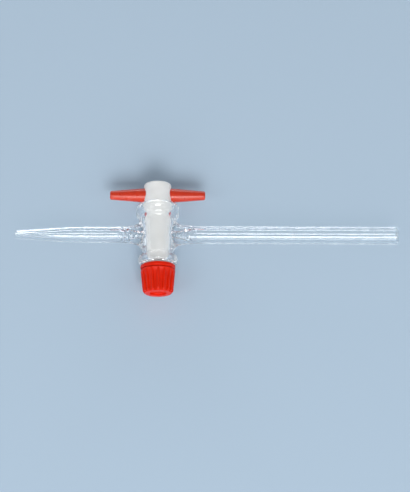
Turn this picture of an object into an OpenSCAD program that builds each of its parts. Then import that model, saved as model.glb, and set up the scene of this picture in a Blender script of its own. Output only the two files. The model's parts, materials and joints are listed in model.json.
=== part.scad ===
// Burette stopcock: a one-piece glass body with a long inlet arm and a drawn-out jet,
// a PTFE key that a screw cap pulls into its tapered seat, and a press-fitted bar handle.
// The key axis runs along Y with the handle at +Y, and the flow axis runs along X with
// the inlet at +X. +Z is up as the stopcock lies on a table. The origin is the crossing
// of the two axes, in the middle of the flow bore. Millimetres throughout.

/* [Seat and flow bore] */
// Diameter of the ground seat where the flow axis crosses it
seat_d = 11.2; // [10.8:0.1:11.6]
// Length over which the seat's diameter changes by one millimetre
seat_taper = 10; // [9:0.5:12]
// Diameter of the flow bore, the stopcock's nominal size
flow_d = 2.5; // [1.5:0.1:3]
// Radial running gap between the key and its seat
seat_gap = 0.03; // [0.01:0.01:0.1]

/* [Glass barrel] */
// From the flow axis to the flat end face on the cap's side
barrel_cap_end = 13.8; // [13:0.1:15]
// Outer diameter of the barrel at the flow axis
barrel_d = 15.4; // [15:0.1:16]
// Growth of the barrel's outer diameter for each millimetre towards the handle
barrel_flare = 0.108; // [0.08:0.002:0.13]
// Outer diameter of the rolled bead round the mouth
mouth_bead_d = 19.8; // [19:0.1:21]
// Rounding radius of the mouth bead
mouth_bead_r = 2.4; // [2:0.1:2.6]
// From the flow axis to the middle of the mouth bead
mouth_bead_y = 11; // [10.6:0.1:12]
// Height of the straight band on the mouth bead
mouth_bead_band = 2; // [1:0.1:3]
// Outer diameter of the bead at the cap's end
cap_bead_d = 17.8; // [17:0.1:18.4]
// Rounding radius of the bead at the cap's end
cap_bead_r = 1.7; // [1.5:0.1:2]
// Depth of the flared mouth below the bead's crest
mouth_depth = 3.6; // [3:0.1:4]
// Diameter of the flared mouth at the bead's crest
mouth_d = 15.2; // [14.5:0.1:16]

/* [Inlet arm] */
// Length of the inlet arm from the key axis
inlet_len = 110.4; // [60:0.2:150]
// Outer diameter of the inlet arm
inlet_d = 8; // [7.5:0.1:9]
// Bore of the inlet arm
inlet_bore_d = 5; // [4:0.1:5.5]

/* [Outlet arm and jet] */
// Length of the outlet arm and jet from the key axis
jet_len = 64.6; // [55:0.2:80]
// Outer diameter of the outlet arm
outlet_d = 7.2; // [7:0.1:8]
// Bore of the outlet arm
outlet_bore_d = 4.3; // [4:0.1:4.8]
// Length of the drawn-out cone
jet_cone_len = 25.6; // [20:0.1:30]
// Outer diameter of the jet at its tip
jet_tip_d = 3.5; // [3:0.1:4]
// Bore of the jet at its tip
jet_bore_d = 1.2; // [0.8:0.1:1.6]

/* [Arm roots] */
// From the key axis to where each arm reaches its straight outer diameter
root_len = 19; // [17:0.5:21]
// Outer diameter of the inlet arm's root, where it leaves the barrel
inlet_root_d = 10.2; // [9.5:0.1:10.6]
// Outer diameter of the outlet arm's root
outlet_root_d = 9.5; // [9:0.1:10.2]
// From the key axis to where the flow bore starts to widen
neck_start = 9.4; // [9:0.1:10]
// From the key axis to where an arm has its full bore
neck_end = 15.5; // [14:0.1:17]

/* [Key head] */
// From the flow axis to the top of the key's head
head_top = 24.4; // [23:0.1:26]
// Diameter at the foot of the head
head_foot_d = 12.9; // [12.7:0.1:13.2]
// Width of the head's waist, across the two scooped sides
head_waist_d = 11.7; // [11.2:0.1:12]
// Radius of the head's rounded top edge
head_edge_r = 1; // [0.5:0.1:1.5]
// From the flow axis to the handle's axis, which is also the waist
handle_y = 19.1; // [18.8:0.1:20]

/* [Key stem] */
// Outer diameter of the threaded stem
stem_d = 8; // [7.6:0.1:8.2]
// Width across the stem's two flats
stem_flats = 6.4; // [6:0.1:7]
// From the flow axis to the end of the stem
stem_end = 24.6; // [23:0.1:25.4]
// Bare length between the key's small end and the glass end face
key_setback = 1.2; // [0.8:0.1:1.6]

/* [Handle] */
// Length of the handle from end to end
handle_len = 43.8; // [38:0.2:50]
// Diameter of the handle where it passes through the head
handle_d = 6.6; // [5.8:0.1:7]
// Diameter of the handle at its ends
handle_tip_d = 4; // [3.2:0.1:4.4]

/* [Washer and ring] */
// Outer diameter of the washer
washer_d = 13.2; // [12.6:0.1:15.6]
// Thickness of the washer
washer_t = 0.8; // [0.6:0.1:1]
// Section diameter of the rubber ring
ring_section = 2; // [1.8:0.1:2.2]

/* [Screw cap] */
// Height of the cap
cap_h = 13; // [12.6:0.1:14.5]
// Diameter of the smooth rim
rim_d = 15.8; // [15.4:0.1:16.4]
// Height of the smooth rim
rim_h = 1.4; // [1:0.1:1.8]
// Height of the groove under the rim
groove_h = 0.5; // [0.3:0.1:0.8]
// Height of the smooth band between the groove and the ribs
band_h = 0.8; // [0.5:0.1:1.2]
// Diameter over the ribs at their upper ends
rib_top_d = 15.7; // [15.2:0.1:16.2]
// Diameter over the ribs at the bottom chamfer
rib_low_d = 13.8; // [13.4:0.1:14.6]
// Radius of a rib's rounded crest
rib_r = 0.7; // [0.7:0.05:1]
// Number of ribs
rib_count = 16; // [12:1:18]
// Height of the bottom chamfer
cap_chamfer = 1; // [0.6:0.1:1.4]
// Diameter of the shallow recess in the bottom face
recess_d = 7.2; // [6:0.1:9.4]
// Depth of that recess
recess_depth = 1; // [0.3:0.1:1.2]

/* [Smoothness] */
// Segments in a full circle
$fn = 96; // [48:8:144]

/* [Hidden] */

cut = 1;                                  // how far a cutting shape runs past a face
mouth_top = mouth_bead_y + mouth_bead_band / 2 + mouth_bead_r;
mouth_foot = mouth_top - mouth_depth;
key_small_end = -barrel_cap_end + key_setback;
key_edge = 0.4;                           // chamfer at the key's small end
head_foot = mouth_top - 0.6;              // where the head's foot leaves the key's cone
head_foot_band = 1.2;                     // straight band at the foot of the head
head_top_d = 12.6;
tube_edge = 1.1;                          // fire-polished rounding of the inlet's end
jet_edge = 0.5;
jet_land = 3;                             // straight bore behind the jet's tip
handle_edge = 0.5;
handle_grip = head_waist_d / 2;           // half the handle's straight middle
washer_gap = 0.1;                         // washer and ring slide on the stem with this gap
washer_low = -barrel_cap_end - washer_t;
ring_mid_r = stem_d / 2 + washer_gap + ring_section / 2;
ring_y = washer_low - ring_section / 2;
cap_top = washer_low - 0.15;
cap_low = cap_top - cap_h;
cap_seat = ring_y - ring_section / 2 - 0.05;
cap_seat_r = ring_mid_r + ring_section / 2 + 0.2;
thread_r = stem_d / 2 + 0.05;
thread_floor = 1.3;                       // wall left between the blind thread and the recess
rib_top = cap_top - rim_h - groove_h;
rib_low = cap_low + cap_chamfer;
rib_sink = 0.7;                           // how far the ribs' crests stand above the cap's core
rib_shoulder = 0.5;
rim_edge = 0.45;

function seat_r(y) = (seat_d + y / seat_taper) / 2;
function key_r(y) = seat_r(y) - seat_gap;
function barrel_r(y) = (barrel_d + barrel_flare * y) / 2;

// Turns a shape built along +Z so that it runs along +Y.
module along_key() {
    rotate([-90, 0, 0]) children();
}

// Turns a shape built along +Z so that it runs along +X.
module along_flow() {
    rotate([0, 90, 0]) children();
}

// Half section of a bead: a straight band between two rounded corners.
module bead_section(d, r, y, band) {
    for (side = [-1, 1]) translate([d / 2 - r, y + side * band / 2]) circle(r);
    translate([d / 2 - r, y - band / 2]) square([r, band]);
}

// The barrel with no holes: a tapered wall between the mouth bead and the cap's bead.
module barrel_solid() {
    cap_bead_y = -barrel_cap_end + cap_bead_r + 0.3;
    rotate_extrude() intersection() {
        union() {
            polygon([
                [0, -barrel_cap_end],
                [cap_bead_d / 2 - cap_bead_r, -barrel_cap_end],
                [barrel_r(cap_bead_y), cap_bead_y],
                [barrel_r(mouth_bead_y), mouth_bead_y],
                [mouth_bead_d / 2 - mouth_bead_r, mouth_top],
                [0, mouth_top]
            ]);
            bead_section(mouth_bead_d, mouth_bead_r, mouth_bead_y, mouth_bead_band);
            bead_section(cap_bead_d, cap_bead_r, cap_bead_y, 1);
        }
        translate([0, -barrel_cap_end]) square([mouth_bead_d, barrel_cap_end + mouth_top]);
    }
}

// The tapered seat and the flared mouth above it.
module seat_cut() {
    rotate_extrude() polygon([
        [0, -barrel_cap_end - cut],
        [seat_r(-barrel_cap_end - cut), -barrel_cap_end - cut],
        [seat_r(mouth_foot), mouth_foot],
        [mouth_d / 2, mouth_top],
        [mouth_d / 2, mouth_top + cut],
        [0, mouth_top + cut]
    ]);
}

// An arm's outside, from inside the barrel to its end.
module arm_solid(root_d, d, len, edge, cone_len, tip_d) {
    straight_end = len - cone_len;
    rotate_extrude() union() {
        polygon([
            [0, seat_d / 4],
            [root_d / 2, seat_d / 4],
            [root_d / 2, barrel_d / 2],
            [d / 2, root_len],
            [d / 2, cone_len > 0 ? straight_end : len - edge],
            [tip_d / 2, len - edge],
            [tip_d / 2 - edge, len],
            [0, len]
        ]);
        translate([tip_d / 2 - edge, len - edge]) circle(edge);
    }
}

module inlet_arm() {
    along_flow() arm_solid(inlet_root_d, inlet_d, inlet_len, tube_edge, 0, inlet_d);
}

module outlet_arm() {
    mirror([1, 0, 0]) along_flow() {
        arm_solid(outlet_root_d, outlet_d, jet_len, jet_edge, jet_cone_len, jet_tip_d);
    }
}

// The flow path through the glass: narrow at the seat, then opening into each arm.
module flow_cut() {
    along_flow() rotate_extrude() polygon([
        [0, 0],
        [flow_d / 2, 0],
        [flow_d / 2, neck_start],
        [inlet_bore_d / 2, neck_end],
        [inlet_bore_d / 2, inlet_len + cut],
        [0, inlet_len + cut]
    ]);
    mirror([1, 0, 0]) along_flow() rotate_extrude() polygon([
        [0, 0],
        [flow_d / 2, 0],
        [flow_d / 2, neck_start],
        [outlet_bore_d / 2, neck_end],
        [outlet_bore_d / 2, jet_len - jet_cone_len],
        [jet_bore_d / 2, jet_len - jet_land],
        [jet_bore_d / 2, jet_len + cut],
        [0, jet_len + cut]
    ]);
}

module glass_body() {
    color([0.80, 0.88, 0.92, 0.45]) difference() {
        union() {
            along_key() barrel_solid();
            inlet_arm();
            outlet_arm();
        }
        along_key() seat_cut();
        flow_cut();
    }
}

// The head: round with a rounded top and a straight foot, scooped out on the two sides
// where the handle comes through.
module head_solid() {
    waist_rise = handle_y - head_foot - head_foot_band;
    waist_sag = (head_foot_d - head_waist_d) / 2;
    waist_r = (waist_rise * waist_rise + waist_sag * waist_sag) / (2 * waist_sag);
    difference() {
        rotate_extrude() union() {
            polygon([
                [0, head_foot],
                [head_foot_d / 2, head_foot],
                [head_foot_d / 2, head_foot + head_foot_band],
                [head_top_d / 2, head_top - head_edge_r],
                [head_top_d / 2 - head_edge_r, head_top],
                [0, head_top]
            ]);
            translate([head_top_d / 2 - head_edge_r, head_top - head_edge_r]) circle(head_edge_r);
        }
        for (side = [-1, 1]) translate([side * (head_waist_d / 2 + waist_r), -seat_d, handle_y]) {
            rotate([-90, 0, 0]) cylinder(h = 2 * seat_d, r = waist_r);
        }
    }
}

// The threaded stem, drawn at its outer diameter, with a flat on two sides.
module stem_solid() {
    stem_len = stem_end + key_small_end;
    stem_edge = 0.8;
    intersection() {
        translate([0, 0, -stem_end]) union() {
            cylinder(h = stem_edge, d1 = stem_d - 2 * stem_edge, d2 = stem_d);
            translate([0, 0, stem_edge]) cylinder(h = stem_len - stem_edge + cut, d = stem_d);
        }
        translate([-stem_d, -stem_flats / 2, -stem_end - cut]) cube([2 * stem_d, stem_flats, stem_len + 3 * cut]);
    }
}

module key_plug() {
    color([0.93, 0.92, 0.90]) difference() {
        along_key() union() {
            rotate_extrude() polygon([
                [0, key_small_end],
                [key_r(key_small_end) - key_edge, key_small_end],
                [key_r(key_small_end + key_edge), key_small_end + key_edge],
                [key_r(mouth_foot), mouth_foot],
                [head_foot_d / 2, head_foot],
                [0, head_foot]
            ]);
            head_solid();
            stem_solid();
        }
        translate([-seat_d, 0, 0]) along_flow() cylinder(h = 2 * seat_d, d = flow_d);
        translate([-seat_d, handle_y, 0]) along_flow() cylinder(h = 2 * seat_d, d = handle_d);
    }
}

// Half of the handle: a straight middle, then a taper to a rounded end.
module handle_half() {
    rotate_extrude() union() {
        polygon([
            [0, 0],
            [handle_d / 2, 0],
            [handle_d / 2, handle_grip],
            [handle_tip_d / 2, handle_len / 2 - handle_edge],
            [handle_tip_d / 2 - handle_edge, handle_len / 2],
            [0, handle_len / 2]
        ]);
        translate([handle_tip_d / 2 - handle_edge, handle_len / 2 - handle_edge]) circle(handle_edge);
    }
}

module handle_bar() {
    color([0.86, 0.22, 0.10]) translate([0, handle_y, 0]) union() {
        along_flow() handle_half();
        mirror([1, 0, 0]) along_flow() handle_half();
    }
}

// A flat ring whose hole has the stem's two flats, so that it can't turn on the key.
module ptfe_washer() {
    hole_d = stem_d + 2 * washer_gap;
    hole_flats = stem_flats + 2 * washer_gap;
    color([0.95, 0.95, 0.93]) along_key() translate([0, 0, washer_low]) difference() {
        cylinder(h = washer_t, d = washer_d);
        translate([0, 0, -cut]) intersection() {
            cylinder(h = washer_t + 2 * cut, d = hole_d);
            translate([-hole_d, -hole_flats / 2, 0]) cube([2 * hole_d, hole_flats, washer_t + 2 * cut]);
        }
    }
}

module rubber_ring() {
    color([0.10, 0.10, 0.10]) along_key() rotate_extrude() {
        translate([ring_mid_r, ring_y]) circle(ring_section / 2);
    }
}

// The outline that bounds the cap: rim, groove, tapered grip and bottom chamfer.
module cap_envelope() {
    rotate_extrude() polygon([
        [0, cap_low],
        [rib_low_d / 2 - cap_chamfer, cap_low],
        [rib_low_d / 2, rib_low],
        [rib_top_d / 2, rib_top - rib_shoulder],
        [rib_top_d / 2 - rib_shoulder, rib_top],
        [rib_top_d / 2 - rib_shoulder, rib_top + groove_h],
        [rim_d / 2, rib_top + groove_h],
        [rim_d / 2, cap_top - rim_edge],
        [rim_d / 2 - rim_edge, cap_top],
        [0, cap_top]
    ]);
}

// The cap's core between the ribs, which rises to its full width at the smooth band.
module cap_core() {
    rotate_extrude() polygon([
        [0, cap_low],
        [rib_low_d / 2 - rib_sink, cap_low],
        [rib_top_d / 2 - rib_sink, rib_top - band_h - rib_sink],
        [rib_top_d / 2, rib_top - band_h],
        [rim_d / 2, rib_top - band_h],
        [rim_d / 2, cap_top],
        [0, cap_top]
    ]);
}

// One straight rib, leaning with the cap's taper.
module cap_rib() {
    rib_len = rib_top - cap_low;
    lean = atan((rib_top_d - rib_low_d) / 2 / (rib_top - rib_low));
    translate([rib_top_d / 2 - rib_r, 0, rib_top]) rotate([0, lean, 0]) {
        translate([0, 0, -rib_len - cut]) cylinder(h = rib_len + cut, r = rib_r, $fn = 32);
    }
}

module screw_cap() {
    color([0.84, 0.10, 0.05]) along_key() difference() {
        intersection() {
            cap_envelope();
            union() {
                cap_core();
                for (i = [0 : rib_count - 1]) rotate([0, 0, i * 360 / rib_count]) cap_rib();
            }
        }
        translate([0, 0, cap_seat]) cylinder(h = cap_top - cap_seat + cut, r = cap_seat_r);
        translate([0, 0, cap_low + recess_depth + thread_floor]) cylinder(h = cap_h, r = thread_r);
        translate([0, 0, cap_low - cut]) cylinder(h = recess_depth + cut, d = recess_d);
    }
}

glass_body();
key_plug();
handle_bar();
ptfe_washer();
rubber_ring();
screw_cap();
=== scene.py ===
import json
import math

import bpy
import bmesh
import numpy as np
from mathutils import Matrix, Vector, noise

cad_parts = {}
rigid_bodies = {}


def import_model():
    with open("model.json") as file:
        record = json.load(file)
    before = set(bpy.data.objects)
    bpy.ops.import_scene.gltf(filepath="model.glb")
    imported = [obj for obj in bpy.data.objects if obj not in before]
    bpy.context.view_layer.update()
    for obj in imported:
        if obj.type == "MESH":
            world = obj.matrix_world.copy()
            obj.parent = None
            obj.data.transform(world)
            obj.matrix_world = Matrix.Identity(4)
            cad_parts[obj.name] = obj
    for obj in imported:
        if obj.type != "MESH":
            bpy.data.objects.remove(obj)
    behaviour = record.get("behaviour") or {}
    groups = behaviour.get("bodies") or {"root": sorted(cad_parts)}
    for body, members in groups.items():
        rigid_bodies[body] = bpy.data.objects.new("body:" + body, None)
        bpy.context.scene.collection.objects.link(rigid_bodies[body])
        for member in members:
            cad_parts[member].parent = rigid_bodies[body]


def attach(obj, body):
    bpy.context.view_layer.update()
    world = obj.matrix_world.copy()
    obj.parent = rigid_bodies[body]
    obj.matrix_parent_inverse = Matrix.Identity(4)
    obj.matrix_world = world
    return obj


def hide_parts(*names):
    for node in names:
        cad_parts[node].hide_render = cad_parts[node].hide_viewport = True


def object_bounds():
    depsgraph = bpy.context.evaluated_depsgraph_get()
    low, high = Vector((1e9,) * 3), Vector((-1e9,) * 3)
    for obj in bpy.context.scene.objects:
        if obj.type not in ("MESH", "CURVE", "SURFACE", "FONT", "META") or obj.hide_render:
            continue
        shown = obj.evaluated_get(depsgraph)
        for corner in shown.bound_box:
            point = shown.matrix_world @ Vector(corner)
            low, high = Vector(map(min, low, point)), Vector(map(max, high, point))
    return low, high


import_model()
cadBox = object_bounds()
mm = 0.001

# The key turns about Y with its handle at +Y, and the liquid runs along X.
# Lengths of the pieces are in mm, those of the studio and the view in metres, and noise scales are per metre.
noiseSpread = (0.3, 0.7)    # between these lies nearly all of a noise pattern


# helpers for outlines and solids
def spot(axis, along, radius):  # a point of an outline
    return Vector((along, radius, 0) if axis == "X" else (radius, along, 0)) * mm


def axisOf(axis):
    return Vector((1, 0, 0) if axis == "X" else (0, 1, 0))


def turn(outline, axis, steps=96, fine=None, roundSteps=4):
    # outline: (along, radius, rounding) corners, turned into a solid or a sleeve about the axis
    bm = bmesh.new()
    corners = [bm.verts.new(spot(axis, c[0], c[1])) for c in outline]
    for pair in zip(corners, corners[1:]):
        bm.edges.new(pair)
    for corner, data in zip(corners, outline):
        if len(data) > 2:
            bmesh.ops.bevel(bm, geom=[corner], offset=data[2] * mm, offset_type="OFFSET", segments=roundSteps,
                            profile=0.5, affect="VERTICES", clamp_overlap=True, material=-1)
    for edge in bm.edges[:]:
        middle = (edge.verts[0].co + edge.verts[1].co).dot(axisOf(axis)) / 2 / mm
        step = fine(middle) if callable(fine) else fine
        if step and max(v.co.cross(axisOf(axis)).length for v in edge.verts) > 0:
            bmesh.ops.subdivide_edges(bm, edges=[edge], cuts=int(edge.calc_length() / (step * mm)))
    bmesh.ops.spin(bm, geom=bm.verts[:] + bm.edges[:], cent=(0, 0, 0), axis=axisOf(axis), dvec=(0, 0, 0),
                   angle=math.tau, steps=steps, use_merge=True, use_duplicate=False)
    bmesh.ops.remove_doubles(bm, verts=bm.verts, dist=1e-7)
    bmesh.ops.recalc_face_normals(bm, faces=bm.faces)
    return bm


def toObject(name, bm):
    mesh = bpy.data.meshes.new(name)
    bm.to_mesh(mesh)
    bm.free()
    piece = bpy.data.objects.new(name, mesh)
    bpy.context.scene.collection.objects.link(piece)
    return piece


def discard(*pieces):
    for piece in pieces:
        mesh = piece.data
        bpy.data.objects.remove(piece)
        bpy.data.meshes.remove(mesh)


def combine(shape, tool, operation):  # boolean of two closed bmeshes, which are used up
    first, second = toObject("shape", shape), toObject("tool", tool)
    modifier = first.modifiers.new("combine", "BOOLEAN")
    modifier.object = second
    modifier.operation = operation
    modifier.solver = "MANIFOLD"
    result = bmesh.new()
    result.from_object(first, bpy.context.evaluated_depsgraph_get())
    discard(first, second)
    bmesh.ops.remove_doubles(result, verts=result.verts, dist=1e-7)
    return result


def box(low, high):  # a block between two corners
    bm = bmesh.new()
    low, high = Vector(low) * mm, Vector(high) * mm
    block = Matrix.Translation((low + high) / 2) @ Matrix.Diagonal((*(high - low), 1))
    bmesh.ops.create_cube(bm, size=1, matrix=block)
    return bm


def cutAt(bm, place, away, dist):  # removes what lies beyond a plane
    bmesh.ops.bisect_plane(bm, geom=bm.verts[:] + bm.edges[:] + bm.faces[:], dist=dist,
                           plane_co=place, plane_no=away, clear_outer=True)


def countOpen(bm):
    return sum(1 for edge in bm.edges if not edge.is_manifold)


def finishPiece(name, bm, material, body, nodes, sharpAngle=38):
    limit = math.radians(sharpAngle)
    for edge in bm.edges:
        edge.smooth = edge.calc_face_angle(0) < limit
    for face in bm.faces:
        face.smooth = True
    openEdges = countOpen(bm)
    piece = toObject(name, bm)
    piece.data.materials.append(material)
    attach(piece, body)
    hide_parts(*nodes)
    print(name, "ready:", len(piece.data.polygons), "faces,", openEdges, "open edges")
    return piece


# helpers for the materials
def newMaterial(name):
    material = bpy.data.materials.new(name)
    material.use_nodes = True
    tree = material.node_tree
    return material, tree.nodes, tree.links, tree.nodes["Principled BSDF"]


def stretchedNoise(nodes, links, scale, detail=2.0):
    # noise in object coordinates, with one scale or with its own along each axis
    place = nodes.new("ShaderNodeTexCoord")
    mapping = nodes.new("ShaderNodeMapping")
    mapping.inputs["Scale"].default_value = scale if isinstance(scale, tuple) else (scale, scale, scale)
    pattern = nodes.new("ShaderNodeTexNoise")
    pattern.inputs["Scale"].default_value = 1.0
    pattern.inputs["Detail"].default_value = detail
    links.new(place.outputs["Object"], mapping.inputs["Vector"])
    links.new(mapping.outputs["Vector"], pattern.inputs["Vector"])
    return pattern.outputs["Fac"]


def remap(nodes, links, value, low, high, spread=noiseSpread):
    node = nodes.new("ShaderNodeMapRange")
    node.inputs["From Min"].default_value = spread[0]
    node.inputs["From Max"].default_value = spread[1]
    node.inputs["To Min"].default_value = low
    node.inputs["To Max"].default_value = high
    links.new(value, node.inputs["Value"])
    return node.outputs["Result"]


def bump(nodes, links, heights, depth, strength):  # depth in mm
    total = heights[0]
    for height in heights[1:]:
        add = nodes.new("ShaderNodeMath")
        add.operation = "ADD"
        links.new(total, add.inputs[0])
        links.new(height, add.inputs[1])
        total = add.outputs[0]
    node = nodes.new("ShaderNodeBump")
    node.inputs["Strength"].default_value = strength
    node.inputs["Distance"].default_value = depth * mm
    links.new(total, node.inputs["Height"])
    return node.outputs["Normal"]


def tint(nodes, links, value, dark, light):
    ramp = nodes.new("ShaderNodeValToRGB")
    for element, position, color in zip(ramp.color_ramp.elements, noiseSpread, (dark, light)):
        element.position = position
        element.color = (*color, 1)
    links.new(value, ramp.inputs["Fac"])
    return ramp.outputs["Color"]


glass = {
    "capEnd": -13.8,          # flat end on the cap's side
    "barrelRadius": 7.7,      # outside of the barrel at the flow axis
    "barrelFlare": 0.054,     # growth of that radius for each mm towards the handle
    "mouthBead": (7.5, 11.0, 1.0, 2.4),    # radius and place of the bead's heart, half its band, its rounding
    "capBead": (7.2, -11.8, 0.5, 1.7),
    "endBlend": 0.5, "beadBlend": 1.3, "capEdge": 0.25,    # softness of these on the barrel
    "inletRoot": 5.1, "inletRadius": 4.0, "inletEnd": 110.4, "inletEdge": 0.85,
    "outletRoot": 4.75, "outletRadius": 3.6, "outletEnd": -64.6, "tipRadius": 1.75, "tipEdge": 0.4,
    "coneStart": -39.0, "coneShoulder": 9,
    "rootEnd": 19.0, "rootSwell": 1.5,
    "melt": 3.8,              # how far the arms' roots flow along the barrel
    "meltAcross": 0.9,        # and how far they flow round it
    "sealFrom": 6, "sealGrow": 2.5, "sealTo": 17, "sealFade": 5,    # softened when the arms went on
    "sealRipple": 0.05,       # unevenness of the skin there
    # the rough barrel and arms under the molten skin
    "core": ((-13.8, 0), (-13.8, 8.4), (-10, 8.4), (-9, 7.4), (8, 8.2),
             (9.5, 9.8), (13.4, 9.2), (14.3, 7.5), (14.3, 0)),
    "coreReach": 22, "coreCut": 19.4, "armStart": 19.8,
    "voxel": 0.27, "smoothings": 4, "pulls": 5, "longestPull": 1.5,
    # the tapered seat, with the relief under it and the flare of the mouth over it
    "seatRadius": 5.6, "seatTaper": 0.05, "seatLow": -13.2, "seatTop": 10.8, "seatRound": (0.4, 0.8),
    "capFlare": ((-15.2, 6.1), (-13.72, 5.25, 0.25)),
    "mouthFlare": ((13.1, 7.05, 0.9), (14.12, 7.75, 0.8), (14.45, 9.3), (16, 9.6)),
    # the bores, with their last corners: how far past the arm's end, radius, rounding
    "flowRadius": 1.25, "inletBore": 2.5, "outletBore": 2.15, "jetBore": 0.6, "jetLand": 3,
    "boreStart": 3.8, "channelEnd": 9.4, "channelRound": 1.2,
    "boreFull": 15.5, "boreRound": 2.5, "boreStraight": 18,
    "boreShoulder": 7, "jetRound": 4,
    "boreMesh": (0.3, 1.2), "boreSeeds": (3.1, 7.7),
    "noiseSeed": 2,           # set, so that every run gives the same bores
    "inletLip": ((-0.45, 2.5, 0.3), (0.06, 2.95), (2, 3.1)),
    "jetLip": ((-0.2, 0.6, 0.15), (0.06, 0.82), (2, 1.0)),
    "waviness": 0.008,        # slow drift of the drawn bores
    "sideways": 1.4,          # how much more they drift sideways than they widen
    "driftPace": 0.02, "lumpPace": 0.85,
    "neckAt": 13.5, "neckHalf": 6,
    "neckWaviness": 0.52,     # unevenness of the bores where the arms are sealed on
    "tint": (0.988, 0.995, 0.995), "refraction": 1.473,
    "shadowTint": (0.97, 0.975, 0.975),
    "striae": (6, 420, 420), "striaeDepth": 0.03, "striaeStrength": 0.5,    # faint drawing lines
    "lumps": (750, 900, 900), "lumpDepth": 0.3,
    "lumpsGrow": (5.5, 7), "lumpsFade": (11, 17),           # away from the barrel, along each arm
    "longestPath": 9.5,       # turns of light inside the glass before it leaves
}


def softMin(a, b, width):  # the smaller of two lengths, with a soft step from one to the other
    share = np.clip(0.5 + 0.5 * (b - a) / width, 0, 1)
    return b + (a - b) * share - width * share * (1 - share)


def armRadius(x):  # swells from the drawn tube to the root at the barrel
    across = np.clip((np.abs(x) - glass["barrelRadius"]) / (glass["rootEnd"] - glass["barrelRadius"]), 0, 1)
    swell = (1 - across) ** glass["rootSwell"]
    inlet = glass["inletRadius"] + (glass["inletRoot"] - glass["inletRadius"]) * swell
    outlet = glass["outletRadius"] + (glass["outletRoot"] - glass["outletRadius"]) * swell
    return np.where(x > 0, inlet, outlet)


def ripple(x, y, z):  # two sets of crossing waves, 2 to 3 mm long
    coarse = np.sin(2.7 * x + 1.9 * np.sin(1.3 * z)) * np.sin(2.3 * y + 1.7 * z)
    return coarse + 0.6 * np.sin(4.1 * x - 1.6 * y) * np.sin(3.7 * z + 1.1 * x)


def skinDistance(points):  # how far points lie outside the molten outer skin
    g = glass
    x, y, z = points.T
    around = np.hypot(x, z)
    wall = around - g["barrelRadius"] - g["barrelFlare"] * y
    ends = np.maximum(g["capEnd"] - y, y - g["mouthBead"][1])
    skin = -softMin(-wall, -ends, g["endBlend"])
    for radius, middle, band, rounding in (g["mouthBead"], g["capBead"]):
        away, aside = np.maximum(around - radius, 0), np.maximum(np.abs(y - middle) - band, 0)
        skin = softMin(skin, np.hypot(away, aside) - rounding, g["beadBlend"])
    grow = np.clip((np.abs(x) - g["sealFrom"]) / g["sealGrow"], 0, 1)
    fade = np.clip((g["sealTo"] - np.abs(x)) / g["sealFade"], 0, 1)
    arms = np.hypot(y, z) - armRadius(x) - g["sealRipple"] * (fade * grow) * ripple(x, y, z)
    lengthwise = y ** 2 / np.maximum(y ** 2 + z ** 2, 1e-6)
    skin = softMin(skin, arms, g["meltAcross"] + (g["melt"] - g["meltAcross"]) * lengthwise)
    return -softMin(-skin, y - g["capEnd"], g["capEdge"])


def pullToSkin(bm):  # moves every point down the slope of its distance, onto the skin
    points = np.array([v.co for v in bm.verts]) / mm
    step, longest, flattest = 0.01, glass["longestPull"], 0.2
    for _ in range(glass["pulls"]):
        distance = skinDistance(points)
        slope = [(skinDistance(points + step * axis) - distance) / step for axis in np.eye(3)]
        slope = np.stack(slope, axis=1)
        move = slope * (distance / np.maximum((slope ** 2).sum(axis=1), flattest))[:, None]
        points -= np.clip(move, -longest, longest)
    for vert, point in zip(bm.verts, points):
        vert.co = Vector(point) * mm


def moltenCore():  # a rough barrel with rough arms, joined and drawn out to the skin
    g = glass
    barrel = turn(g["core"], "Y", 64)
    for end, root, radius in ((g["coreReach"], g["inletRoot"], g["inletRadius"]),
                              (-g["coreReach"], g["outletRoot"], g["outletRadius"])):
        outline = [(0, 0), (0, root), (end / 3, root), (end * 0.86, radius), (end, radius), (end, 0)]
        barrel = combine(barrel, turn(outline, "X", 64), "UNION")
    core = toObject("core", barrel)
    remesh = core.modifiers.new("remesh", "REMESH")
    remesh.mode = "VOXEL"
    remesh.voxel_size = g["voxel"] * mm
    bm = bmesh.new()
    bm.from_object(core, bpy.context.evaluated_depsgraph_get())
    discard(core)
    for _ in range(g["smoothings"]):
        bmesh.ops.smooth_vert(bm, verts=bm.verts, factor=0.5,
                              use_axis_x=True, use_axis_y=True, use_axis_z=True)
        pullToSkin(bm)
    for side in (1, -1):
        cutAt(bm, (side * g["coreCut"] * mm, 0, 0), (side, 0, 0), 1e-6)
    bmesh.ops.remove_doubles(bm, verts=bm.verts, dist=0.05 * mm)
    return bm


def drawnArms(core):  # carries the arms on from the cut roots to their ends
    g = glass
    inlet = [(g["armStart"], g["inletRadius"]),
             (g["inletEnd"], g["inletRadius"], g["inletEdge"]), (g["inletEnd"], 0)]
    outlet = [(-g["armStart"], g["outletRadius"]), (g["coneStart"], g["outletRadius"], g["coneShoulder"]),
              (g["outletEnd"], g["tipRadius"], g["tipEdge"]), (g["outletEnd"], 0)]
    for outline in (inlet, outlet):
        piece = toObject("arm", turn(outline, "X", 96, fine=1.5, roundSteps=6))
        core.from_mesh(piece.data)
        discard(piece)
    for side in (1, -1):
        rims = [e for e in core.edges if e.is_boundary and side * e.verts[0].co.x > 0]
        bmesh.ops.bridge_loops(core, edges=rims)
    bmesh.ops.recalc_face_normals(core, faces=core.faces)
    return core


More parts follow.
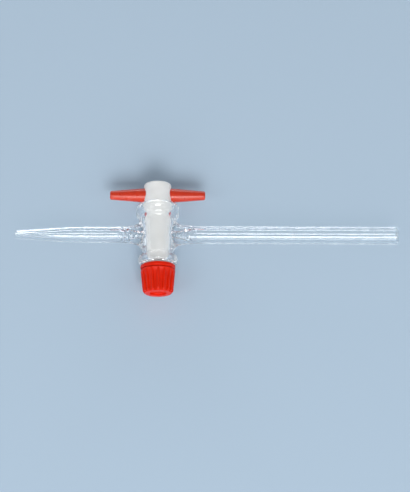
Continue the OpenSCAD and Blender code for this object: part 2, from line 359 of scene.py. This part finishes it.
def unevenBore(bm, seed):  # slow drift along the arm, and melted lumps at the neck
    g = glass
    pace = g["lumpPace"]
    for vert in bm.verts:
        x, y, z = vert.co / mm
        if abs(x) < g["sealFrom"]:
            continue
        drift = noise.noise_vector(Vector((x * g["driftPace"], seed, 0)))
        lumps = noise.noise_vector(Vector((x * pace, y * pace, z * pace + seed)))
        nearNeck = max(0.0, 1 - abs(abs(x) - g["neckAt"]) / g["neckHalf"])
        outward = Vector((0, y, z)).normalized() if math.hypot(y, z) > 0.05 else Vector((0, 0, 0))
        shift = Vector((0, drift.y, drift.z)) * g["waviness"] * g["sideways"]
        shift += outward * drift.x * g["waviness"]
        shift += outward * lumps.x * g["neckWaviness"] * nearNeck
        vert.co += shift * mm
    return bm


def seatAt(y):  # radius of the tapered seat
    return glass["seatRadius"] + glass["seatTaper"] * y


def boreMesh(along):  # length of the mesh along a bore, finer inside the seal
    return glass["boreMesh"][0 if abs(along) < glass["boreStraight"] else 1]


def cutBore(body, side, bore, beyond, end, lip, seed):  # from the key's seat out to an arm's end
    g = glass
    outline = [(side * g["boreStart"], 0), (side * g["boreStart"], g["flowRadius"]),
               (side * g["channelEnd"], g["flowRadius"], g["channelRound"]),
               (side * g["boreFull"], bore, g["boreRound"]), (side * g["boreStraight"], bore)]
    outline += beyond + [(end + side * past, *corner) for past, *corner in lip]
    outline.append((outline[-1][0], 0))
    tool = turn(outline, "X", 80, fine=boreMesh, roundSteps=6)
    return combine(body, unevenBore(tool, seed), "DIFFERENCE")


def makeGlass(material):
    g = glass
    noise.seed_set(g["noiseSeed"])
    body = drawnArms(moltenCore())
    print("molten body:", len(body.faces), "faces,", countOpen(body), "open edges")
    seat = [(g["capFlare"][0][0], 0), *g["capFlare"],
            (g["seatLow"], seatAt(g["seatLow"]), g["seatRound"][0]),
            (g["seatTop"], seatAt(g["seatTop"]), g["seatRound"][1]),
            *g["mouthFlare"], (g["mouthFlare"][-1][0], 0)]
    body = combine(body, turn(seat, "Y", 128, fine=1.2), "DIFFERENCE")
    cone = [(g["coneStart"], g["outletBore"], g["boreShoulder"]),
            (g["outletEnd"] + g["jetLand"], g["jetBore"], g["jetRound"])]
    body = cutBore(body, 1, g["inletBore"], [], g["inletEnd"], g["inletLip"], g["boreSeeds"][0])
    body = cutBore(body, -1, g["outletBore"], cone, g["outletEnd"], g["jetLip"], g["boreSeeds"][1])
    return finishPiece("glassBody", body, material, "glass", ["glass_body"])


def glassMaterial():
    g = glass
    material, nodes, links, shader = newMaterial("clearGlass")
    shader.inputs["Base Color"].default_value = (*g["tint"], 1)
    shader.inputs["Roughness"].default_value = 0.0
    shader.inputs["IOR"].default_value = g["refraction"]
    shader.inputs["Transmission Weight"].default_value = 1.0
    striae = stretchedNoise(nodes, links, g["striae"], detail=2)
    lines = bump(nodes, links, [striae], g["striaeDepth"], g["striaeStrength"])
    place = nodes.new("ShaderNodeTexCoord")
    parts = nodes.new("ShaderNodeSeparateXYZ")
    links.new(place.outputs["Object"], parts.inputs["Vector"])
    along = nodes.new("ShaderNodeMath")
    along.operation = "ABSOLUTE"
    links.new(parts.outputs["X"], along.inputs[0])
    grow, fade = ([place * mm for place in g[stretch]] for stretch in ("lumpsGrow", "lumpsFade"))
    nearSeal = remap(nodes, links, along.outputs[0], 1.0, 0.0, fade)
    fromBarrel = remap(nodes, links, along.outputs[0], 0.0, 1.0, grow)
    worked = nodes.new("ShaderNodeMath")
    worked.operation = "MULTIPLY"
    links.new(nearSeal, worked.inputs[0])
    links.new(fromBarrel, worked.inputs[1])
    lumps = nodes.new("ShaderNodeBump")
    lumps.inputs["Distance"].default_value = g["lumpDepth"] * mm
    links.new(worked.outputs[0], lumps.inputs["Strength"])
    links.new(stretchedNoise(nodes, links, g["lumps"], detail=1), lumps.inputs["Height"])
    links.new(lines, lumps.inputs["Normal"])
    links.new(lumps.outputs["Normal"], shader.inputs["Normal"])
    path = nodes.new("ShaderNodeLightPath")
    caught = nodes.new("ShaderNodeMath")      # light caught in a wall passes out of it after many turns
    caught.operation = "GREATER_THAN"
    caught.inputs[1].default_value = g["longestPath"]
    links.new(path.outputs["Ray Depth"], caught.inputs[0])
    passing = path.outputs["Is Shadow Ray"]
    for also in (path.outputs["Is Diffuse Ray"], caught.outputs[0]):
        either = nodes.new("ShaderNodeMath")
        either.operation = "MAXIMUM"
        links.new(passing, either.inputs[0])
        links.new(also, either.inputs[1])
        passing = either.outputs[0]
    clear = nodes.new("ShaderNodeBsdfTransparent")
    clear.inputs["Color"].default_value = (*g["shadowTint"], 1)
    mix = nodes.new("ShaderNodeMixShader")
    links.new(passing, mix.inputs["Fac"])
    links.new(shader.outputs["BSDF"], mix.inputs[1])
    links.new(clear.outputs["BSDF"], mix.inputs[2])
    links.new(mix.outputs["Shader"], nodes["Material Output"].inputs["Surface"])
    return material


key = {
    "smallEnd": -12.6, "smallRound": 0.35, "gap": 0.03,
    "seatEnd": 10.8, "footStart": 13.8, "footRadius": 6.45, "footBand": 1.2, "footRound": (0.3, 0.25),
    "waistAt": 19.1, "waistHalf": 5.85,       # the head is scooped to this where the handle comes out
    "scoopFrom": 0.5, "scoopBlend": 0.12,     # where it starts over the foot, and its soft rim
    "top": 24.4, "topRadius": 6.3, "topRounding": 1.0,
    "stemRadius": 4.0, "threadDepth": 0.55, "pitch": 1.5, "stemEnd": -24.6, "flat": 3.2,
    "shankEnd": 1.6, "shankRound": 0.3,       # the plain stretch between cone and thread
    "shankFade": 0.5, "shankSink": 0.1,       # and how it runs out into the thread's root
    "stemRoot": 1.2, "shankRoot": 1.4,        # how deep these are rooted in the cone
    "pointHeight": 0.8, "pointDepth": 0.8,    # the chamfer at the stem's end
    "blankRadius": (4.4, 4.02),               # of the tapered rod that the stem is cut from
    "reach": 9,                               # of the holes' tools, well past the key's sides
    "color": (0.80, 0.795, 0.78), "shade": (0.74, 0.735, 0.72),
    "cloud": 160, "latheLines": (60, 5200, 60), "grain": 2600, "relief": 0.02, "reliefStrength": 0.5,
    "roughness": (0.36, 0.5), "reflection": 0.35,
    "scatter": 0.25, "scatterDepth": 1.2, "scatterColor": (1.0, 0.95, 0.85),
}


def threadRod(crest, depth, pitch, start, end, steps=48):
    # a screw-shaped rod about the Y axis between two places: one thread form, swept so that its turns join
    form = ((0, 0), (0.22, 0), (0.42, 1), (0.58, 1), (0.78, 0), (1, 0))    # share of the pitch, height
    turns = int(abs(end - start) / pitch) + 4
    first = max(start, end) + 2 * pitch
    bm = bmesh.new()
    corners = [bm.verts.new(spot("Y", first - pitch * share, crest - depth + depth * rise))
               for share, rise in form]
    edges = [bm.edges.new(pair) for pair in zip(corners, corners[1:])]
    bmesh.ops.spin(bm, geom=corners + edges, cent=(0, 0, 0), axis=(0, -1, 0),
                   dvec=(0, -pitch * mm / steps, 0), angle=math.tau * turns, steps=turns * steps,
                   use_merge=False, use_duplicate=False)
    bmesh.ops.remove_doubles(bm, verts=bm.verts, dist=1e-6)
    for place, side in ((max(start, end), 1), (min(start, end), -1)):
        cutAt(bm, (0, place * mm, 0), (0, side, 0), 1e-7)
        rim = [e for e in bm.edges if e.is_boundary and abs(e.verts[0].co.y - place * mm) < 1e-6]
        bmesh.ops.holes_fill(bm, edges=rim)
    bmesh.ops.recalc_face_normals(bm, faces=bm.faces)
    return bm


def scoopHead(bm):  # hollows the head's two sides, with a soft rim
    k = key
    rise = k["waistAt"] - k["footStart"] - k["footBand"]
    sag = k["footRadius"] - k["waistHalf"]
    curve = (rise ** 2 + sag ** 2) / (2 * sag)
    for vert in bm.verts:
        away = vert.co.y / mm - k["waistAt"]
        if vert.co.y / mm > k["footStart"] + k["scoopFrom"]:
            limit = k["waistHalf"] + curve - math.sqrt(curve ** 2 - away ** 2)
            half = softMin(abs(vert.co.x / mm), limit, k["scoopBlend"])
            vert.co.x = math.copysign(half * mm, vert.co.x)


def crossTool(radius, steps):  # a rod right through the key, along the flow axis
    reach = key["reach"]
    return turn([(-reach, 0), (-reach, radius), (reach, radius), (reach, 0)], "X", steps)


def makeKey(material):
    k = key
    small, start = k["smallEnd"], k["smallEnd"] + k["shankRoot"]
    body = turn([(small, 0), (small, seatAt(small) - k["gap"], k["smallRound"]),
                 (k["seatEnd"], seatAt(k["seatEnd"]) - k["gap"]),
                 (k["footStart"], k["footRadius"], k["footRound"][0]),
                 (k["footStart"] + k["footBand"], k["footRadius"], k["footRound"][1]),
                 (k["top"], k["topRadius"], k["topRounding"]), (k["top"], 0)],
                "Y", 144, fine=0.5, roundSteps=6)
    scoopHead(body)
    stem = threadRod(k["stemRadius"], k["threadDepth"], k["pitch"], small + k["stemRoot"], k["stemEnd"])
    fade = small - k["shankEnd"] - k["shankFade"]
    shank = turn([(start, 0), (start, k["stemRadius"]),
                  (small - k["shankEnd"], k["stemRadius"], k["shankRound"]),
                  (fade, k["stemRadius"] - k["threadDepth"] - k["shankSink"]), (fade, 0)], "Y", 96)
    stem = combine(stem, shank, "UNION")
    blank = turn([(0, 0), (0, k["blankRadius"][0]), (k["stemEnd"] + k["pointHeight"], k["blankRadius"][1]),
                  (k["stemEnd"], k["stemRadius"] - k["pointDepth"]), (k["stemEnd"], 0)], "Y", 96)
    stem = combine(stem, blank, "INTERSECT")
    flats = box((-k["reach"], k["stemEnd"] - 1, -k["flat"]), (k["reach"], 0, k["flat"]))
    stem = combine(stem, flats, "INTERSECT")
    body = combine(body, stem, "UNION")
    body = combine(body, crossTool(glass["flowRadius"], 48), "DIFFERENCE")
    hole = crossTool(handle["radius"], 96)
    bmesh.ops.translate(hole, verts=hole.verts, vec=(0, k["waistAt"] * mm, 0))
    body = combine(body, hole, "DIFFERENCE")
    return finishPiece("keyPlug", body, material, "key", ["key_plug"], 32)


def softPlastic(name, look):  # a cloudy plastic that light enters a little way
    material, nodes, links, shader = newMaterial(name)
    cloudy = stretchedNoise(nodes, links, look["cloud"], detail=3)
    links.new(tint(nodes, links, cloudy, look["shade"], look["color"]), shader.inputs["Base Color"])
    shader.inputs["Specular IOR Level"].default_value = look["reflection"]
    shader.inputs["Subsurface Weight"].default_value = look["scatter"]
    shader.inputs["Subsurface Radius"].default_value = look["scatterColor"]
    shader.inputs["Subsurface Scale"].default_value = look["scatterDepth"] * mm
    return material, nodes, links, shader, cloudy


def ptfeMaterial():
    k = key
    material, nodes, links, shader, cloudy = softPlastic("whitePtfe", k)
    latheLines = stretchedNoise(nodes, links, k["latheLines"], detail=2)
    grain = stretchedNoise(nodes, links, k["grain"], detail=1)
    normal = bump(nodes, links, [latheLines, grain], k["relief"], k["reliefStrength"])
    links.new(normal, shader.inputs["Normal"])
    links.new(remap(nodes, links, cloudy, *k["roughness"]), shader.inputs["Roughness"])
    return material


handle = {
    "length": 43.8, "radius": 3.3, "tipRadius": 2.0, "tipRounding": 0.75,
    "grip": 5.85, "gripRounding": 0.8,        # half of the straight stretch inside the head
    "color": (0.58, 0.038, 0.011), "shade": (0.51, 0.030, 0.009),
    "roughness": 0.3, "reflection": 0.5,
}


def makeHandle(material):
    h = handle
    half = h["length"] / 2
    bar = turn([(-half, 0), (-half, h["tipRadius"], h["tipRounding"]),
                (-h["grip"], h["radius"], h["gripRounding"]), (h["grip"], h["radius"], h["gripRounding"]),
                (half, h["tipRadius"], h["tipRounding"]), (half, 0)], "X", 96, fine=1.2, roundSteps=6)
    bmesh.ops.translate(bar, verts=bar.verts, vec=(0, key["waistAt"] * mm, 0))
    return finishPiece("handleBar", bar, material, "key", ["handle_bar"])


moulded = {    # what the two red plastics have in common
    "cloud": 220, "flow": 500, "grain": 3000, "relief": 0.02, "reliefStrength": 0.4,
    "roughnessSpread": (0.85, 1.2),
    "scatter": 0.12, "scatterDepth": 0.8, "scatterColor": (1.0, 0.25, 0.1),
}


def mouldedMaterial(name, piece):
    look = {**moulded, **piece}
    material, nodes, links, shader, _ = softPlastic(name, look)
    flow = stretchedNoise(nodes, links, look["flow"], detail=3)
    grain = stretchedNoise(nodes, links, look["grain"], detail=1)
    normal = bump(nodes, links, [flow, grain], look["relief"], look["reliefStrength"])
    links.new(normal, shader.inputs["Normal"])
    low, high = (look["roughness"] * share for share in look["roughnessSpread"])
    links.new(remap(nodes, links, flow, low, high), shader.inputs["Roughness"])
    return material


seals = {
    "washerTop": -13.8, "washerLow": -14.6, "washerRadius": 6.6, "washerRound": 0.18,
    "holeRadius": 4.1, "holeFlat": 3.3,
    "ringRadius": 5.1, "ringSection": 1.0, "ringAt": -15.6,
    "ringColor": (0.028, 0.027, 0.026), "ringShade": (0.018, 0.018, 0.018),
    "speckle": 900, "ringRoughness": (0.5, 0.7), "relief": 0.02, "reliefStrength": 0.4,
}


def makeWasher(material):
    s = seals
    top, low, edge = s["washerTop"], s["washerLow"], s["washerRound"]
    disc = turn([(top, 0), (top, s["washerRadius"], edge), (low, s["washerRadius"], edge), (low, 0)],
                "Y", 128, roundSteps=3)
    hole = turn([(top + 1, 0), (top + 1, s["holeRadius"]), (low - 1, s["holeRadius"]), (low - 1, 0)], "Y", 96)
    flats = box((-s["washerRadius"], low - 2, -s["holeFlat"]), (s["washerRadius"], top + 2, s["holeFlat"]))
    hole = combine(hole, flats, "INTERSECT")
    washer = combine(disc, hole, "DIFFERENCE")
    return finishPiece("ptfeWasher", washer, material, "seals", ["ptfe_washer"])


def makeRing(material):
    s = seals
    bm = bmesh.new()
    place = Matrix.Translation(spot("Y", s["ringAt"], s["ringRadius"]))
    section = bmesh.ops.create_circle(bm, cap_ends=False, segments=28,
                                      radius=s["ringSection"] * mm, matrix=place)
    bmesh.ops.spin(bm, geom=section["verts"] + bm.edges[:], cent=(0, 0, 0), axis=(0, 1, 0), dvec=(0, 0, 0),
                   angle=math.tau, steps=96, use_merge=True, use_duplicate=False)
    bmesh.ops.recalc_face_normals(bm, faces=bm.faces)
    return finishPiece("rubberRing", bm, material, "seals", ["rubber_ring"])


def rubberMaterial():
    s = seals
    material, nodes, links, shader = newMaterial("ringRubber")
    speckle = stretchedNoise(nodes, links, s["speckle"], detail=3)
    links.new(tint(nodes, links, speckle, s["ringShade"], s["ringColor"]), shader.inputs["Base Color"])
    links.new(remap(nodes, links, speckle, *s["ringRoughness"]), shader.inputs["Roughness"])
    links.new(bump(nodes, links, [speckle], s["relief"], s["reliefStrength"]), shader.inputs["Normal"])
    return material


cap = {
    "top": -14.75, "low": -27.75,
    "rimRadius": 7.9, "rimHeight": 1.4, "rimRound": 0.4,
    "grooveHeight": 0.5, "grooveRadius": 7.3, "grooveRound": 0.12,
    "ribTopRadius": 7.85, "ribLowRadius": 6.9, "ribRounding": 0.6, "ribs": 16,
    "ribReach": 1.15,           # how far the ribs run into the chamfer, 1 where it begins
    "band": 0.6,                # smooth stretch over the ribs
    "gripFrom": 0.55,           # below this the turned shape is fitted to the ribs
    "fluteDepth": 0.85, "fluteRun": 1.5, "fluteBlend": 0.12,
    "shoulder": 0.5, "shoulderRound": 0.3,
    "chamfer": 1.0, "chamferRound": (0.35, 0.25),
    "recessRadius": 3.6, "recessDepth": 1.0, "recessDraft": 0.15, "recessRound": 0.2, "recessLand": 0.4,
    "seatRadius": 6.3, "seatAt": -16.65, "seatRound": (0.15, 0.2),    # the pocket of the rubber ring
    "threadRadius": 4.05, "threadEnd": -25.45,
    "stepsPerRib": 24, "meshStep": 0.45,
    "color": (0.69, 0.017, 0.0012), "shade": (0.61, 0.013, 0.001),
    "roughness": 0.36, "reflection": 0.2,
}


def capHeights():  # where the groove ends, where the ribs begin and where they end
    grooveTop = cap["top"] - cap["rimHeight"]
    return grooveTop, grooveTop - cap["grooveHeight"], cap["low"] + cap["chamfer"]


def ribbedRadius(y, angle, envelope):
    # distance from the axis to the ribbed grip at a height and an angle, never outside the turned envelope
    c = cap
    _, ribTop, ribLow = capHeights()
    share = min(max((ribTop - y) / (ribTop - ribLow), 0), c["ribReach"])
    crest = c["ribTopRadius"] + (c["ribLowRadius"] - c["ribTopRadius"]) * share
    below = max(ribTop - c["band"] - y, 0)        # the flutes start under a smooth band
    valley = crest - c["fluteDepth"] * (1 - math.exp(-below / c["fluteRun"]))
    pitch = math.tau / c["ribs"]
    off = (angle / pitch + 0.5) % 1 - 0.5         # a crest stands on the flow axis
    heart = crest - c["ribRounding"]
    sideways = abs(heart * math.sin(off * pitch))
    rib = 0
    if sideways < c["ribRounding"]:
        rib = heart * math.cos(off * pitch) + math.sqrt(c["ribRounding"] ** 2 - sideways ** 2)
    blend = c["fluteBlend"]
    gap = max(blend - abs(rib - valley), 0) / blend
    return min(max(rib, valley) + gap * gap * blend / 4, envelope)


def makeCap(material):
    c = cap
    grooveTop, ribTop, ribLow = capHeights()
    recess = c["low"] + c["recessDepth"]
    body = turn([(recess, 0), (recess, c["recessRadius"], c["recessRound"]),
                 (c["low"], c["recessRadius"] + c["recessDraft"], c["recessDraft"]),
                 (c["low"], c["ribLowRadius"] - c["chamfer"], c["chamferRound"][1]),
                 (ribLow, c["ribLowRadius"], c["chamferRound"][0]),
                 (ribTop - c["shoulder"], c["ribTopRadius"], c["shoulderRound"]),
                 (ribTop, c["grooveRadius"], c["grooveRound"]),
                 (grooveTop, c["grooveRadius"], c["grooveRound"]),
                 (grooveTop, c["rimRadius"], c["grooveRound"]),
                 (c["top"], c["rimRadius"], c["rimRound"]),
                 (c["top"], c["seatRadius"], c["seatRound"][0]),
                 (c["seatAt"], c["seatRadius"], c["seatRound"][1]), (c["seatAt"], 0)],
                "Y", c["ribs"] * c["stepsPerRib"], fine=c["meshStep"])
    for vert in body.verts:
        x, y, z = vert.co / mm
        radius = math.hypot(x, z)
        if radius > c["recessRadius"] + c["recessLand"] and y < ribTop - c["gripFrom"]:
            fitted = ribbedRadius(y, math.atan2(z, x), radius)
            if fitted < radius:
                vert.co.x *= fitted / radius
                vert.co.z *= fitted / radius
    thread = threadRod(c["threadRadius"], key["threadDepth"], key["pitch"], c["seatAt"] + 1, c["threadEnd"])
    body = combine(body, thread, "DIFFERENCE")
    return finishPiece("screwCap", body, material, "cap", ["screw_cap"], 42)


# the six pieces
ptfe = ptfeMaterial()
makeGlass(glassMaterial())
makeKey(ptfe)
makeHandle(mouldedMaterial("handlePlastic", handle))
makeWasher(ptfe)
makeRing(rubberMaterial())
makeCap(mouldedMaterial("capPlastic", cap))


studio = {
    "floorColor": (0.42, 0.53, 0.64), "floorRoughness": 0.8, "floorReflection": 0.2,
    "floorSize": 3.6,
    # light of the surroundings by height above the horizon, 0 level and 1 straight up
    "sky": ((0.0, (0.42, 0.51, 0.61)), (0.26, (0.40, 0.49, 0.585)),
            (0.42, (0.05, 0.06, 0.07)), (0.85, (0.19, 0.20, 0.21))),
    "aim": (0.02, 0, 0),
    # every lamp's name, place, width and height, and watts
    "lamps": (("frontSoftbox", (0.15, -2.0, 2.1), (1.6, 1.1), 60),
              ("leftFlank", (-1.9, -1.3, 1.9), (1.4, 1.4), 15),
              ("rightFlank", (2.1, -1.3, 1.8), (1.4, 1.4), 10),
              ("lowFrontScreen", (0.0, -2.7, 1.15), (3.4, 1.3), 28),
              ("lowBackStrip", (0.0, 2.8, 0.48), (3.6, 0.5), 42),
              ("leftSoftbox", (-2.6, 0.2, 0.6), (1.4, 0.8), 5),
              ("rightSoftbox", (2.7, 0.2, 0.6), (1.4, 0.8), 3)),
}


def makeFloor():
    bm = bmesh.new()
    bmesh.ops.create_grid(bm, x_segments=1, y_segments=1, size=studio["floorSize"] / 2,
                          matrix=Matrix.Translation((0, 0, cadBox[0].z)))
    floor = toObject("floor", bm)
    material, *_, shader = newMaterial("paleFloor")
    shader.inputs["Base Color"].default_value = (*studio["floorColor"], 1)
    shader.inputs["Roughness"].default_value = studio["floorRoughness"]
    shader.inputs["Specular IOR Level"].default_value = studio["floorReflection"]
    floor.data.materials.append(material)


def makeWorld():
    world = bpy.data.worlds.new("studio")
    bpy.context.scene.world = world
    world.use_nodes = True
    nodes, links = world.node_tree.nodes, world.node_tree.links
    place = nodes.new("ShaderNodeTexCoord")
    height = nodes.new("ShaderNodeSeparateXYZ")
    ramp = nodes.new("ShaderNodeValToRGB")
    for position, color in studio["sky"][1:-1]:
        ramp.color_ramp.elements.new(position)
    for element, (position, color) in zip(ramp.color_ramp.elements, studio["sky"]):
        element.position = position
        element.color = (*color, 1)
    links.new(place.outputs["Generated"], height.inputs["Vector"])
    links.new(height.outputs["Z"], ramp.inputs["Fac"])
    links.new(ramp.outputs["Color"], nodes["Background"].inputs["Color"])


def makeLamp(name, place, size, watts):
    data = bpy.data.lights.new(name, "AREA")
    data.shape = "RECTANGLE"
    data.size, data.size_y = size
    data.energy = watts
    lamp = bpy.data.objects.new(name, data)
    bpy.context.scene.collection.objects.link(lamp)
    lamp.location = place
    lamp.visible_camera = False
    lamp.rotation_euler = (Vector(studio["aim"]) - Vector(place)).to_track_quat("-Z", "Y").to_euler()


view = {
    "target": (0.02149, -0.00525, 0), "distance": 0.6,
    "azimuth": -10.0, "elevation": 71.96, "roll": 9.69,
    "lens": 96.26, "sensor": 36,
}


def makeCamera():
    heading, tilt, roll = (math.radians(view[part]) for part in ("azimuth", "elevation", "roll"))
    ahead = Vector((-math.sin(heading) * math.cos(tilt), math.cos(heading) * math.cos(tilt), -math.sin(tilt)))
    side = Vector((math.cos(heading), math.sin(heading), 0))
    up = side.cross(ahead)
    right = math.cos(roll) * side + math.sin(roll) * up
    upright = math.cos(roll) * up - math.sin(roll) * side
    data = bpy.data.cameras.new("camera")
    data.lens, data.sensor_width = view["lens"], view["sensor"]
    data.clip_start = 0.01
    camera = bpy.data.objects.new("camera", data)
    bpy.context.scene.collection.objects.link(camera)
    stand = Matrix.Translation(Vector(view["target"]) - ahead * view["distance"])
    camera.matrix_world = stand @ Matrix((right, upright, -ahead)).transposed().to_4x4()
    bpy.context.scene.camera = camera


makeFloor()
makeWorld()
for lamp in studio["lamps"]:
    makeLamp(*lamp)
makeCamera()
bpy.context.scene.view_settings.view_transform = "Standard"
lightTurns = 24  # a ray crosses many walls of glass, and is turned back inside them
bpy.context.scene.cycles.max_bounces = lightTurns
bpy.context.scene.cycles.transmission_bounces = lightTurns
bpy.context.scene.cycles.glossy_bounces = lightTurns
print("studio ready:", len(studio["lamps"]), "lamps")
